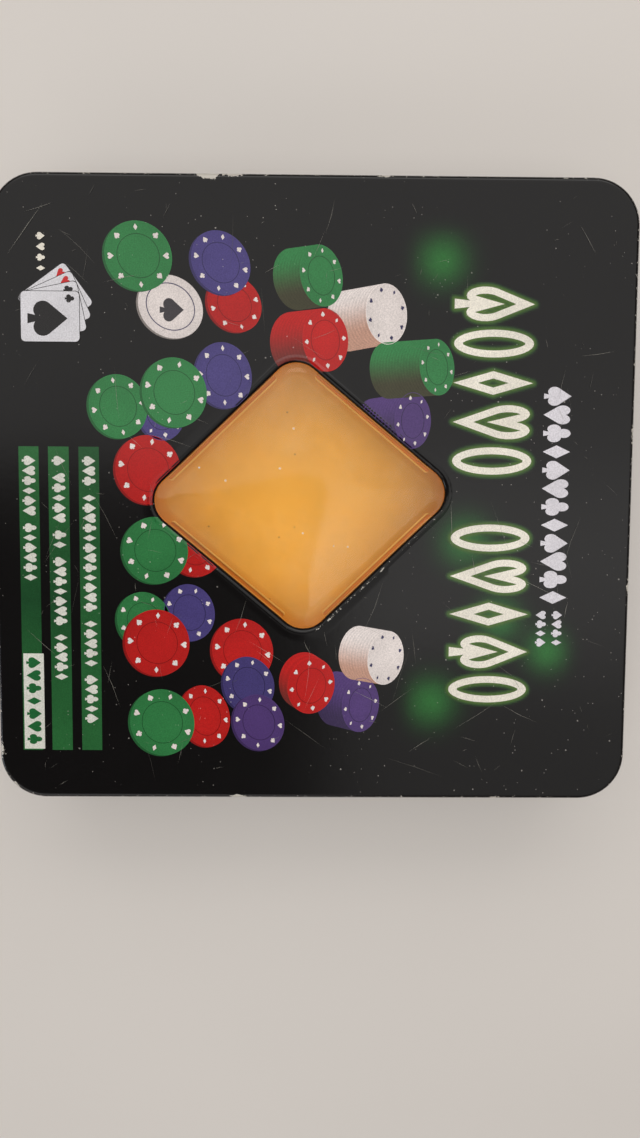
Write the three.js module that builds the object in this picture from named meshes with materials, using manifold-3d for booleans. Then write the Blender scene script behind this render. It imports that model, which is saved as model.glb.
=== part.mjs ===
// A nearly square tinplate gift tin for a set of poker chips: a slip lid with a diamond window,
// a base with a formed tray, and four rows of chips standing on edge in the tray's troughs.
// Millimetres. The origin is the centre of the underside, +Z is up, +Y is the back of the print.

import * as THREE from "three";
import { mergeVertices } from "three/addons/utils/BufferGeometryUtils.js";
import Module from "manifold-3d";

const wasm = await Module();
wasm.setup();

// Driving dimensions
const WIDTH = 200;
const DEPTH = 205;
const HEIGHT = 46;
const CORNER_RADIUS = 15;
const SHEET = 0.4;
const GAP = 0.3;
const CORNER_STEPS = 8;

// Lid
const PANEL_TOP = HEIGHT - 0.4;
const EDGE_ROLL = 1.5;
const LID_FOOT = 30;
const HEM_DEPTH = 0.85;
const HEM_HEIGHT = 1.2;
const RIM_OVERLAP = 3.5;
const PANEL_EDGE = 3;

// Window in the lid: a rounded rhombus, turned slightly against the tin's sides
const WINDOW_CENTRE = [1, -4.8];
const WINDOW_HALF = [45.6, 51.0];
const WINDOW_TURN = THREE.MathUtils.degToRad(2.1);
const WINDOW_RADIUS = 8.5;
const WINDOW_STEPS = 6;
// Bead beside the window, from the flat panel up and then down the rolled rim,
// as [offset from the window, height over the panel]
const BEAD = [[2.4, 0], [1.9, 0.25], [1.4, 0.4], [0.8, 0.2], [0.2, -0.25], [0, -0.7], [0, -1.0]];
const BEAD_WIDTH = BEAD[0][0];
const PANEL_LAP = 0.6;
const RIM_DROP = 1.0;
const TAB_REACH = 2.0;
const TAB_WALL = 1.5;
const TAB_CORNER_GAP = 2.0;

// Pane
const PANE_THICKNESS = 0.5;
const PANE_BORDER_TOP = 44.3;
// From the border to the pillow's peak, as { offset from the window, scale, rise over the border }
const PANE_SECTION = [
  { offset: 1.0, scale: 1, rise: 0 },
  { offset: -0.4, scale: 1, rise: 0 },
  { offset: -4.0, scale: 1, rise: 0.8 },
  { offset: -4.0, scale: 0.7, rise: 1.15 },
  { offset: -4.0, scale: 0.35, rise: 1.35 },
];
const PILLOW_RISE = 1.42;

// Base, with insets counted inwards from the lid's outline
const NECK = 1.2;
const NECK_TOP = 44.6;
const FOOT = SHEET + GAP;
const CURL_RADIUS = 0.6;
const PANEL_FLOOR = 1.2;
const SEAM_HEIGHT = 2.4;
const STOP_BEAD_REACH = 1.15;
const STOP_BEAD_HEIGHT = 1.9;

// Tray
const TRAY_SHEET = 0.6;
const TRAY_INSET = 2.7;
const TRAY_FOOT = PANEL_FLOOR + SHEET + GAP;
const DECK_TOP = 20;
const WELL_HALF = 51.5;
const WELL_RADIUS = 6;
const WELL_STEPS = 4;
const FLOOR_LEDGE = 1;
const TROUGH_RADIUS = 20;
const TROUGH_SIDES = 32;
const NOTCH_HALF = 10;
const NOTCH_FLOOR = 8;
const NOTCH_START = WELL_HALF - 3;
// How far the shapes that cut the tray's hollows reach past it
const CUT_ABOVE = 30;
const CUT_BELOW = 1;

// Chips
const CHIP_RADIUS = 19.5;
const CHIP_PITCH = 3.3;
const CHIPS_IN_BLOCK = 5;
const BLOCKS_IN_ROW = 5;
const ROW_DISTANCE = 73.5;
const CHIP_SIDES = 20;
const CHIP_CENTRE_Z = TRAY_FOOT + TRAY_SHEET + TROUGH_RADIUS;
const BLOCK_LENGTH = CHIPS_IN_BLOCK * CHIP_PITCH - GAP;
const ROW_LENGTH = BLOCKS_IN_ROW * CHIPS_IN_BLOCK * CHIP_PITCH;
const ROWS = [
  { name: "green", angle: 135, color: 0x1c7a45 },
  { name: "red", angle: 45, color: 0xb3202c },
  { name: "blue", angle: 315, color: 0x4a3f8f },
  { name: "white", angle: 225, color: 0xddd6cf },
];

// ---- Rings: outlines with the same number of points at every inset, so that they can be joined ----

// Outline with arcs round the given corner centres. Each corner is { x, y, from, to } with angles in radians.
function arcsOutline(corners, radius, steps) {
  return corners.flatMap(({ x, y, from, to }) =>
    Array.from({ length: steps + 1 }, (_, k) => {
      const a = from + ((to - from) * k) / steps;
      return new THREE.Vector2(x + radius * Math.cos(a), y + radius * Math.sin(a));
    }),
  );
}

// Corner centres of a rounded rectangle, for arcsOutline.
function boxCorners(halfX, halfY) {
  return [[1, 1], [-1, 1], [-1, -1], [1, -1]].map(([sx, sy], k) => ({
    x: sx * halfX,
    y: sy * halfY,
    from: (k * Math.PI) / 2,
    to: ((k + 1) * Math.PI) / 2,
  }));
}

// The tin's rounded rectangle, moved inwards by inset.
function tinRing(inset) {
  const corners = boxCorners(WIDTH / 2 - CORNER_RADIUS, DEPTH / 2 - CORNER_RADIUS);
  return arcsOutline(corners, CORNER_RADIUS - inset, CORNER_STEPS);
}

// The window's rounded rhombus, moved outwards by offset and then scaled about its centre.
function windowRing(offset, scale = 1) {
  const [a, b] = WINDOW_HALF;
  const sideNormal = Math.atan2(a, b);
  const tipX = a - WINDOW_RADIUS / Math.cos(sideNormal);
  const tipY = b - WINDOW_RADIUS / Math.sin(sideNormal);
  const corners = [
    { x: tipX, y: 0, from: -sideNormal, to: sideNormal },
    { x: 0, y: tipY, from: sideNormal, to: Math.PI - sideNormal },
    { x: -tipX, y: 0, from: Math.PI - sideNormal, to: Math.PI + sideNormal },
    { x: 0, y: -tipY, from: Math.PI + sideNormal, to: 2 * Math.PI - sideNormal },
  ];
  const centre = new THREE.Vector2(...WINDOW_CENTRE);
  const middle = new THREE.Vector2(0, 0);
  return arcsOutline(corners, WINDOW_RADIUS + offset, WINDOW_STEPS).map((p) =>
    p.multiplyScalar(scale).rotateAround(middle, WINDOW_TURN).add(centre),
  );
}

// ---- Closed bodies ----

// Joins rings [{ points, z }] into a closed body. A ring of one point closes an end;
// without such ends the last ring joins the first again.
function loft(rings) {
  const positions = [];
  const starts = rings.map(({ points, z }) => {
    const start = positions.length / 3;
    points.forEach((p) => positions.push(p.x, p.y, z));
    return start;
  });
  const index = [];
  const closesOnItself = rings[0].points.length > 1;
  const count = Math.max(...rings.map((ring) => ring.points.length));
  for (let r = 0; r < rings.length - (closesOnItself ? 0 : 1); r++) {
    const next = (r + 1) % rings.length;
    for (let k = 0; k < count; k++) {
      const a = starts[r] + (k % rings[r].points.length);
      const b = starts[r] + ((k + 1) % rings[r].points.length);
      const c = starts[next] + ((k + 1) % rings[next].points.length);
      const d = starts[next] + (k % rings[next].points.length);
      if (a !== b) index.push(a, b, c);
      if (c !== d) index.push(a, c, d);
    }
  }
  const geometry = new THREE.BufferGeometry();
  geometry.setAttribute("position", new THREE.Float32BufferAttribute(positions, 3));
  geometry.setIndex(index);
  return facingOut(geometry);
}

// Turns every triangle over when the enclosed volume comes out negative.
function facingOut(geometry) {
  const p = geometry.attributes.position;
  const index = geometry.index.array;
  const [a, b, c] = [new THREE.Vector3(), new THREE.Vector3(), new THREE.Vector3()];
  let volume = 0;
  for (let k = 0; k < index.length; k += 3) {
    a.fromBufferAttribute(p, index[k]);
    b.fromBufferAttribute(p, index[k + 1]);
    c.fromBufferAttribute(p, index[k + 2]);
    volume += a.dot(b.cross(c));
  }
  if (volume < 0) {
    for (let k = 0; k < index.length; k += 3) {
      [index[k], index[k + 1]] = [index[k + 1], index[k]];
    }
  }
  return geometry;
}

// A wall swept round the tin: profile is a closed list of [inset, z].
const sweepRoundTin = (profile) => loft(profile.map(([inset, z]) => ({ points: tinRing(inset), z })));

// A flat plate between two heights, from an outline with an optional hole.
function plate(outline, low, high, hole) {
  const shape = new THREE.Shape(outline);
  if (hole) shape.holes.push(new THREE.Path(hole));
  return new THREE.ExtrudeGeometry(shape, { depth: high - low, bevelEnabled: false }).translate(0, 0, low);
}

function boxAt(sizeX, sizeY, low, high, x, y, turn) {
  return new THREE.BoxGeometry(sizeX, sizeY, high - low)
    .translate(0, 0, (low + high) / 2)
    .rotateZ(turn)
    .translate(x, y, 0);
}

// ---- Booleans ----

function solidOf(geometry) {
  const bare = geometry.clone();
  bare.deleteAttribute("normal");
  bare.deleteAttribute("uv");
  const merged = mergeVertices(bare, 1e-5);
  return new wasm.Manifold(
    new wasm.Mesh({
      numProp: 3,
      vertProperties: new Float32Array(merged.attributes.position.array),
      triVerts: new Uint32Array(merged.index.array),
    }),
  );
}

const joined = (geometries) => geometries.map(solidOf).reduce((sum, next) => sum.add(next));

function geometryOf(solid) {
  const mesh = solid.getMesh();
  const geometry = new THREE.BufferGeometry();
  geometry.setAttribute("position", new THREE.Float32BufferAttribute(mesh.vertProperties, 3));
  geometry.setIndex(new THREE.BufferAttribute(mesh.triVerts, 1));
  return geometry;
}

// ---- Lid ----

// Points of a quarter roll from the flat top down to the outer face, as [inset, z].
function edgeRoll(radius, steps) {
  return Array.from({ length: steps + 1 }, (_, k) => {
    const a = (k * Math.PI) / 2 / steps;
    return [EDGE_ROLL - radius * Math.sin(a), PANEL_TOP - EDGE_ROLL + radius * Math.cos(a)];
  });
}

function lidRim() {
  return sweepRoundTin([
    [RIM_OVERLAP, PANEL_TOP],
    ...edgeRoll(EDGE_ROLL, 3),
    [0, LID_FOOT],
    [HEM_DEPTH, LID_FOOT],
    [HEM_DEPTH, LID_FOOT + HEM_HEIGHT],
    [SHEET, LID_FOOT + HEM_HEIGHT + SHEET],
    ...edgeRoll(EDGE_ROLL - SHEET, 3).reverse(),
    [RIM_OVERLAP, PANEL_TOP - SHEET],
  ]);
}

// The raised bead and the rim rolled down into the opening.
function windowBead() {
  const top = BEAD.map(([offset, rise]) => [offset, PANEL_TOP + rise]);
  const under = [
    [SHEET, PANEL_TOP - RIM_DROP],
    [1.0, PANEL_TOP - SHEET],
    [BEAD_WIDTH, PANEL_TOP - SHEET],
  ];
  return loft([...top, ...under].map(([offset, z]) => ({ points: windowRing(offset), z })));
}

// The four tabs folded under the pane's border, one along each straight side of the window.
function windowTabs() {
  const outline = windowRing(0);
  const perCorner = WINDOW_STEPS + 1;
  const legTop = PANE_BORDER_TOP - PANE_THICKNESS - GAP;
  return [0, 1, 2, 3].flatMap((k) => {
    const start = outline[k * perCorner + WINDOW_STEPS];
    const end = outline[((k + 1) % 4) * perCorner];
    const along = end.clone().sub(start);
    const turn = Math.atan2(along.y, along.x);
    const outwards = new THREE.Vector2(Math.sin(turn), -Math.cos(turn));
    const length = along.length() - 2 * TAB_CORNER_GAP;
    const middle = start.clone().add(end).multiplyScalar(0.5);
    const wall = middle.clone().addScaledVector(outwards, TAB_WALL);
    const legWidth = TAB_REACH + TAB_WALL + SHEET / 2;
    const leg = middle.clone().addScaledVector(outwards, TAB_WALL + SHEET / 2 - legWidth / 2);
    return [
      boxAt(length, SHEET, legTop - SHEET, PANEL_TOP - SHEET / 2, wall.x, wall.y, turn),
      boxAt(length, legWidth, legTop - SHEET, legTop, leg.x, leg.y, turn),
    ];
  });
}

function lidShell() {
  const panel = plate(tinRing(PANEL_EDGE), PANEL_TOP - SHEET, PANEL_TOP, windowRing(BEAD_WIDTH - PANEL_LAP));
  return geometryOf(joined([lidRim(), panel, windowBead(), ...windowTabs()]));
}

// Clear pane: a flat border, a bevel and a low pillow, all of one thickness.
function windowPane() {
  const centre = [new THREE.Vector2(...WINDOW_CENTRE)];
  const peak = PANE_BORDER_TOP + PILLOW_RISE;
  const face = (drop) =>
    PANE_SECTION.map(({ offset, scale, rise }) => ({
      points: windowRing(offset, scale),
      z: PANE_BORDER_TOP + rise - drop,
    }));
  return loft([
    { points: centre, z: peak },
    ...face(0).reverse(),
    ...face(PANE_THICKNESS),
    { points: centre, z: peak - PANE_THICKNESS },
  ]);
}

// ---- Base ----

function baseWall() {
  const inner = NECK + SHEET;
  const beadTop = LID_FOOT - GAP;
  const curlZ = NECK_TOP - CURL_RADIUS;
  const curl = Array.from({ length: 6 }, (_, k) => {
    const a = Math.PI - (k * Math.PI * 1.25) / 5;
    return [NECK + CURL_RADIUS + CURL_RADIUS * Math.cos(a), curlZ + CURL_RADIUS * Math.sin(a)];
  });
  return sweepRoundTin([
    [NECK, FOOT],
    [NECK, beadTop - STOP_BEAD_HEIGHT],
    [NECK - 0.8, beadTop - 1.5],
    [NECK - STOP_BEAD_REACH, beadTop - 0.9],
    [NECK - 0.8, beadTop - 0.3],
    [NECK, beadTop],
    ...curl,
    [inner, curlZ - 0.6],
    [inner, beadTop],
    [inner - 0.9, beadTop - 0.8],
    [inner - 0.9, beadTop - 1.1],
    [inner, beadTop - STOP_BEAD_HEIGHT],
    [inner, FOOT],
  ]);
}

// Flat bottom whose edge is a channel seamed round the foot of the wall.
function baseBottom() {
  const outside = NECK - GAP - SHEET;
  const inside = NECK + SHEET + GAP;
  const centre = [new THREE.Vector2(0, 0)];
  const profile = [
    [inside + SHEET, PANEL_FLOOR],
    [inside + SHEET, 0],
    [outside, 0],
    [outside, SEAM_HEIGHT],
    [outside + SHEET, SEAM_HEIGHT],
    [outside + SHEET, SHEET],
    [inside, SHEET],
    [inside, PANEL_FLOOR + SHEET],
  ];
  return loft([
    { points: centre, z: PANEL_FLOOR },
    ...profile.map(([inset, z]) => ({ points: tinRing(inset), z })),
    { points: centre, z: PANEL_FLOOR + SHEET },
  ]);
}

// ---- Tray ----

const rowTurns = ROWS.map((row) => THREE.MathUtils.degToRad(row.angle));

// A round bar lying across the diagonal at the given turn, cut off level with the deck.
function troughBar(radius, length, turn) {
  return new THREE.CylinderGeometry(radius, radius, length, TROUGH_SIDES)
    .translate(ROW_DISTANCE, 0, CHIP_CENTRE_Z)
    .rotateZ(turn);
}

// The diamond well, with its sides facing the four rows.
function wellBlock(half, low, high) {
  const corners = boxCorners(WELL_HALF - WELL_RADIUS, WELL_HALF - WELL_RADIUS);
  const outline = arcsOutline(corners, WELL_RADIUS + half - WELL_HALF, WELL_STEPS);
  return plate(outline, low, high).rotateZ(Math.PI / 4);
}

// The well's flat floor. It is a node of its own, set in a hole in the tray,
// so that the tray's collision leaves the well open.
const trayFloor = () => wellBlock(WELL_HALF - FLOOR_LEDGE, TRAY_FOOT, TRAY_FOOT + TRAY_SHEET);

// Finger notch between the well and the middle of a row.
function notchBlock(grow, high, turn) {
  const middle = (NOTCH_START + ROW_DISTANCE) / 2;
  return new THREE.BoxGeometry(ROW_DISTANCE - NOTCH_START, 2 * (NOTCH_HALF + grow), high - NOTCH_FLOOR + grow)
    .translate(middle, 0, (high + NOTCH_FLOOR - grow) / 2)
    .rotateZ(turn);
}

function chipTray() {
  const above = DECK_TOP + CUT_ABOVE;
  const cavityLength = ROW_LENGTH + 2 * GAP;
  const deck = plate(tinRing(TRAY_INSET), DECK_TOP - TRAY_SHEET, DECK_TOP);
  const skirt = sweepRoundTin([
    [TRAY_INSET, TRAY_FOOT],
    [TRAY_INSET, DECK_TOP],
    [TRAY_INSET + TRAY_SHEET, DECK_TOP],
    [TRAY_INSET + TRAY_SHEET, TRAY_FOOT],
  ]);
  const shells = rowTurns.flatMap((turn) => [
    troughBar(TROUGH_RADIUS + TRAY_SHEET, cavityLength + 2 * TRAY_SHEET, turn),
    notchBlock(TRAY_SHEET, DECK_TOP, turn),
  ]);
  const hollows = rowTurns.flatMap((turn) => [
    troughBar(TROUGH_RADIUS, cavityLength, turn),
    notchBlock(0, above, turn),
  ]);
  const overDeck = plate(tinRing(0), DECK_TOP, above);
  const well = wellBlock(WELL_HALF, TRAY_FOOT + TRAY_SHEET, above);
  const holeTop = TRAY_FOOT + TRAY_SHEET + GAP;
  const floorHole = wellBlock(WELL_HALF - FLOOR_LEDGE + GAP, TRAY_FOOT - CUT_BELOW, holeTop);
  const outer = joined([deck, skirt, wellBlock(WELL_HALF + TRAY_SHEET, TRAY_FOOT, DECK_TOP), ...shells]);
  return geometryOf(outer.subtract(joined([overDeck, floorHole, well, ...hollows])));
}

// ---- Chips ----

// Block of five chips on edge. Its axis runs along the row.
function chipBlock(row, k) {
  const along = (k - (BLOCKS_IN_ROW - 1) / 2) * CHIPS_IN_BLOCK * CHIP_PITCH;
  const mesh = new THREE.Mesh(
    new THREE.CylinderGeometry(CHIP_RADIUS, CHIP_RADIUS, BLOCK_LENGTH, CHIP_SIDES),
    new THREE.MeshStandardMaterial({ color: row.color, roughness: 0.5, metalness: 0 }),
  );
  mesh.name = `chips_${row.name}_${k + 1}`;
  mesh.position.set(ROW_DISTANCE, along, CHIP_CENTRE_Z);
  return mesh;
}

function chipRow(row) {
  const group = new THREE.Group();
  group.rotation.z = THREE.MathUtils.degToRad(row.angle);
  for (let k = 0; k < BLOCKS_IN_ROW; k++) group.add(chipBlock(row, k));
  return group;
}

// ---- Assembly ----

function part(name, geometry, look) {
  const mesh = new THREE.Mesh(geometry, new THREE.MeshStandardMaterial(look));
  mesh.name = name;
  return mesh;
}

const lid = new THREE.Group();
lid.add(part("lid_shell", lidShell(), { color: 0x1b1a1b, roughness: 0.3, metalness: 0.2 }));
lid.add(part("window_pane", windowPane(), { color: 0xf4f1ea, roughness: 0.05, metalness: 0 }));

const base = new THREE.Group();
base.add(part("base_wall", baseWall(), { color: 0x1b1a1b, roughness: 0.35, metalness: 0.2 }));
base.add(part("base_bottom", baseBottom(), { color: 0xb8862f, roughness: 0.35, metalness: 0.9 }));
const goldPlastic = { color: 0xc98a35, roughness: 0.4, metalness: 0.4 };
base.add(part("chip_tray", chipTray(), goldPlastic));
base.add(part("tray_floor", trayFloor(), goldPlastic));
ROWS.forEach((row) => base.add(chipRow(row)));

const group = new THREE.Group();
group.add(base, lid);
export default group;
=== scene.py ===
"""Looks for the poker chip tin: printed lid, gold inside, formed tray, chips, floor, lights and camera.

Lengths are millimetres in the shared frame (+X right and +Y up in the lid's print, +Z out of the lid), and MM
turns them into Blender's metres. The floor, the lights and the camera are placed in metres.
"""

import math
import random

import bmesh
import bpy
from mathutils import Euler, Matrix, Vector
from mathutils.geometry import tessellate_polygon


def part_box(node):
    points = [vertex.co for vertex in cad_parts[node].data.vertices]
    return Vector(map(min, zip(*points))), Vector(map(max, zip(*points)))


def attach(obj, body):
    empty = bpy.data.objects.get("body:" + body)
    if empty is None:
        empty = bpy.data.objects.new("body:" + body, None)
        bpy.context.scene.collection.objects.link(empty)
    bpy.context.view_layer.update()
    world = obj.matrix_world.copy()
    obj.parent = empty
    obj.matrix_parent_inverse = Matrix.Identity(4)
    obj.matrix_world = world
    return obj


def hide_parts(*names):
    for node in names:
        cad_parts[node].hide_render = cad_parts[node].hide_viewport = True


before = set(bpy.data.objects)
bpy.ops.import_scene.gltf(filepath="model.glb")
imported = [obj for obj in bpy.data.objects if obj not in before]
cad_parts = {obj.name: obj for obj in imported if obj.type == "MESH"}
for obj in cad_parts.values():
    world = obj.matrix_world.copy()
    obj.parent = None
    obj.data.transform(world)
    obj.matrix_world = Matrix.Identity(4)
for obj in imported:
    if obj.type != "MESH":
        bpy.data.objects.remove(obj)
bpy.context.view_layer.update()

MM = 0.001
SHEET = 0.4

# ---- Sizes from the frame ----

LID_LOW, LID_HIGH = (tuple(c / MM for c in corner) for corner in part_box("lid_shell"))
WALL_LOW, WALL_HIGH = (tuple(c / MM for c in corner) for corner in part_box("base_wall"))
TRAY_LOW, TRAY_HIGH = (tuple(c / MM for c in corner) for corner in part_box("chip_tray"))
BOTTOM_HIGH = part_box("base_bottom")[1][2] / MM

HALF_X = LID_HIGH[0]
HALF_Y = LID_HIGH[1]
CORNER_RADIUS = 15.0
CORNER_STEPS = 20
BEAD_TOP = LID_HIGH[2]
PANEL_DROP = 0.4
PANEL_TOP = BEAD_TOP - PANEL_DROP
LID_FOOT = LID_LOW[2]
EDGE_ROLL = 1.5

# Window: a rounded rhombus, with the centre, half-diagonals and small turn of the CAD lid
WINDOW_CENTRE = Vector((1.0, -4.8))
WINDOW_HALF = (45.6, 51.0)
WINDOW_TURN = math.radians(2.1)
WINDOW_RADIUS = 8.5

NECK = 1.2
CURL_RADIUS = 0.6
TRAY_SHEET = 0.6
DECK_TOP = TRAY_HIGH[2]
TRAY_FOOT = TRAY_LOW[2]
WELL_HALF = 51.5
WELL_RADIUS = 6.0
TROUGH_RADIUS = 20.0
ROW_DISTANCE = 73.5
CHIP_RADIUS = 19.5
CHIP_PITCH = 3.3
CHIP_THICKNESS = 3.15
CHIPS_IN_BLOCK = 5
BLOCKS_IN_ROW = 5
CHIPS_IN_ROW = BLOCKS_IN_ROW * CHIPS_IN_BLOCK
CHIP_Z = TRAY_FOOT + TRAY_SHEET + TROUGH_RADIUS
ROW_ANGLES = {"green": 135, "red": 45, "blue": 315, "white": 225}


def linear(r, g, b):
    """Linear colour of an sRGB colour given from 0 to 255."""
    def one(c):
        c /= 255
        return c / 12.92 if c <= 0.04045 else ((c + 0.055) / 1.055) ** 2.4
    return (one(r), one(g), one(b), 1.0)


BLACK = linear(11, 9, 9)
WHITE = linear(232, 226, 212)
SUBTITLE_WHITE = linear(214, 210, 216)
GOLD = linear(250, 188, 78)


def smooth_step(low, high, x):
    t = min(max((x - low) / (high - low), 0.0), 1.0)
    return t * t * (3 - 2 * t)


# ---- Outlines ----


def closed_lines(outline):
    """Each point of a closed outline with the one after it."""
    return list(zip(outline, outline[1:] + outline[:1]))


def arcs_outline(corners, radius, steps):
    """Outline with an arc round each corner centre (x, y, from angle, to angle)."""
    points = []
    for x, y, start, end in corners:
        for k in range(steps + 1):
            a = start + (end - start) * k / steps
            points.append(Vector((x + radius * math.cos(a), y + radius * math.sin(a))))
    return points


def rounded_box(half_x, half_y, radius, steps, side_steps=1):
    """Rounded rectangle. Its straight sides are cut into side_steps lengths."""
    quarter = math.pi / 2
    signs = [(1, 1), (-1, 1), (-1, -1), (1, -1)]
    corners = [
        (sx * (half_x - radius), sy * (half_y - radius), k * quarter, (k + 1) * quarter)
        for k, (sx, sy) in enumerate(signs)
    ]
    points = arcs_outline(corners, radius, steps)
    made = []
    for k, point in enumerate(points):
        made.append(point)
        if k % (steps + 1) == steps:
            after = points[(k + 1) % len(points)]
            made += [point.lerp(after, n / side_steps) for n in range(1, side_steps)]
    return made


def tin_ring(inset, side_steps=1):
    """The tin's rounded outline, moved inwards."""
    return rounded_box(HALF_X - inset, HALF_Y - inset, CORNER_RADIUS - inset, CORNER_STEPS, side_steps)


def turned(point, angle, centre=Vector((0, 0))):
    c, s = math.cos(angle), math.sin(angle)
    return Vector((c * point.x - s * point.y, s * point.x + c * point.y)) + centre


def window_tips():
    """The corner arcs' distances from the window's centre, and the direction of the sides' normals."""
    a, b = WINDOW_HALF
    normal = math.atan2(a, b)
    return a - WINDOW_RADIUS / math.cos(normal), b - WINDOW_RADIUS / math.sin(normal), normal


def window_ring(offset, scale=1.0, steps=14):
    """The window's outline, moved outwards and then scaled about its centre."""
    tip_x, tip_y, normal = window_tips()
    corners = [
        (tip_x, 0, -normal, normal),
        (0, tip_y, normal, math.pi - normal),
        (-tip_x, 0, math.pi - normal, math.pi + normal),
        (0, -tip_y, math.pi + normal, 2 * math.pi - normal),
    ]
    points = arcs_outline(corners, WINDOW_RADIUS + offset, steps)
    return [turned(p * scale, WINDOW_TURN, WINDOW_CENTRE) for p in points]


def window_offset(x, y):
    """How far a point of the lid lies outside the window's outline."""
    tip_x, tip_y, normal = window_tips()
    c, s = math.cos(normal), math.sin(normal)
    local = turned(Vector((x, y)) - WINDOW_CENTRE, -WINDOW_TURN)
    u, v = abs(local.x), abs(local.y)
    if v * c < (u - tip_x) * s:
        return math.hypot(u - tip_x, v) - WINDOW_RADIUS
    if u * s < (v - tip_y) * c:
        return math.hypot(u, v - tip_y) - WINDOW_RADIUS
    return u * c + v * s - WINDOW_HALF[0] * c


# ---- Meshes ----


WELD_REACH = 0.002


def linked_object(name, data):
    made = bpy.data.objects.new(name, data)
    bpy.context.collection.objects.link(made)
    return made


class Builder:
    """Collects faces in millimetres, with a material number, a colour and a wear value for each point."""

    def __init__(self):
        self.points, self.faces, self.slots = [], [], []
        self.colors, self.wear = [], []

    def add_points(self, points, color=(1, 1, 1, 1), wear=0.0):
        start = len(self.points)
        self.points += [tuple(p) for p in points]
        self.colors += [color] * len(points)
        self.wear += [wear] * len(points)
        return start

    def face(self, *indices, slot=0):
        self.faces.append(indices)
        self.slots.append(slot)

    def strip(self, a, b, count, slot=0, closed=True):
        """Quads between two rows of points that start at a and b."""
        for k in range(count if closed else count - 1):
            n = (k + 1) % count
            self.face(a + k, a + n, b + n, b + k, slot=slot)

    def rings(self, rings, slots=None, closed=False, wear=None):
        """Joins rings of 3-D points. slots gives each band's material number."""
        count = len(rings[0])
        starts = [self.add_points(r, wear=wear[i] if wear else 0.0) for i, r in enumerate(rings)]
        bands = len(rings) if closed else len(rings) - 1
        for i in range(bands):
            slot = slots[i] if slots else 0
            self.strip(starts[i], starts[(i + 1) % len(rings)], count, slot)
        return starts

    def flat(self, loops, z, slot=0, color=(1, 1, 1, 1), up=True):
        """A flat face with holes: loops are outlines, the outer one first."""
        start = self.add_points([(p[0], p[1], z) for loop in loops for p in loop], color)
        flat_loops = [[Vector((p[0], p[1], 0)) for p in loop] for loop in loops]
        for tri in tessellate_polygon(flat_loops):
            a, b, c = (Vector(self.points[start + i]) for i in tri)
            tri = tri if ((b - a).cross(c - a).z > 0) == up else tri[::-1]
            self.face(*(start + i for i in tri), slot=slot)

    def build(self, name, materials, smooth_angle=35, weld=True):
        mesh = bpy.data.meshes.new(name)
        mesh.from_pydata([Vector(p) * MM for p in self.points], [], self.faces)
        for material in materials:
            mesh.materials.append(material)
        for polygon, slot in zip(mesh.polygons, self.slots):
            polygon.material_index = slot
        ink = mesh.color_attributes.new("Ink", "FLOAT_COLOR", "POINT")
        ink.data.foreach_set("color", [c for color in self.colors for c in color])
        worn = mesh.attributes.new("Wear", "FLOAT", "POINT")
        worn.data.foreach_set("value", self.wear)
        if weld:
            bm = bmesh.new()
            bm.from_mesh(mesh)
            bmesh.ops.remove_doubles(bm, verts=bm.verts, dist=WELD_REACH * MM)
            bmesh.ops.recalc_face_normals(bm, faces=bm.faces)
            bm.to_mesh(mesh)
            bm.free()
        mesh.shade_smooth()
        mesh.set_sharp_from_angle(angle=math.radians(smooth_angle))
        return linked_object(name, mesh)


def lifted(outline, z):
    return [(p[0], p[1], z) for p in outline]


# ---- Materials ----

BUMP_DEPTH = 0.0002
# Between these lie most of the values of a noise
NOISE_RANGE = (0.3, 0.7)
VARNISH_IOR = 1.45


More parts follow.
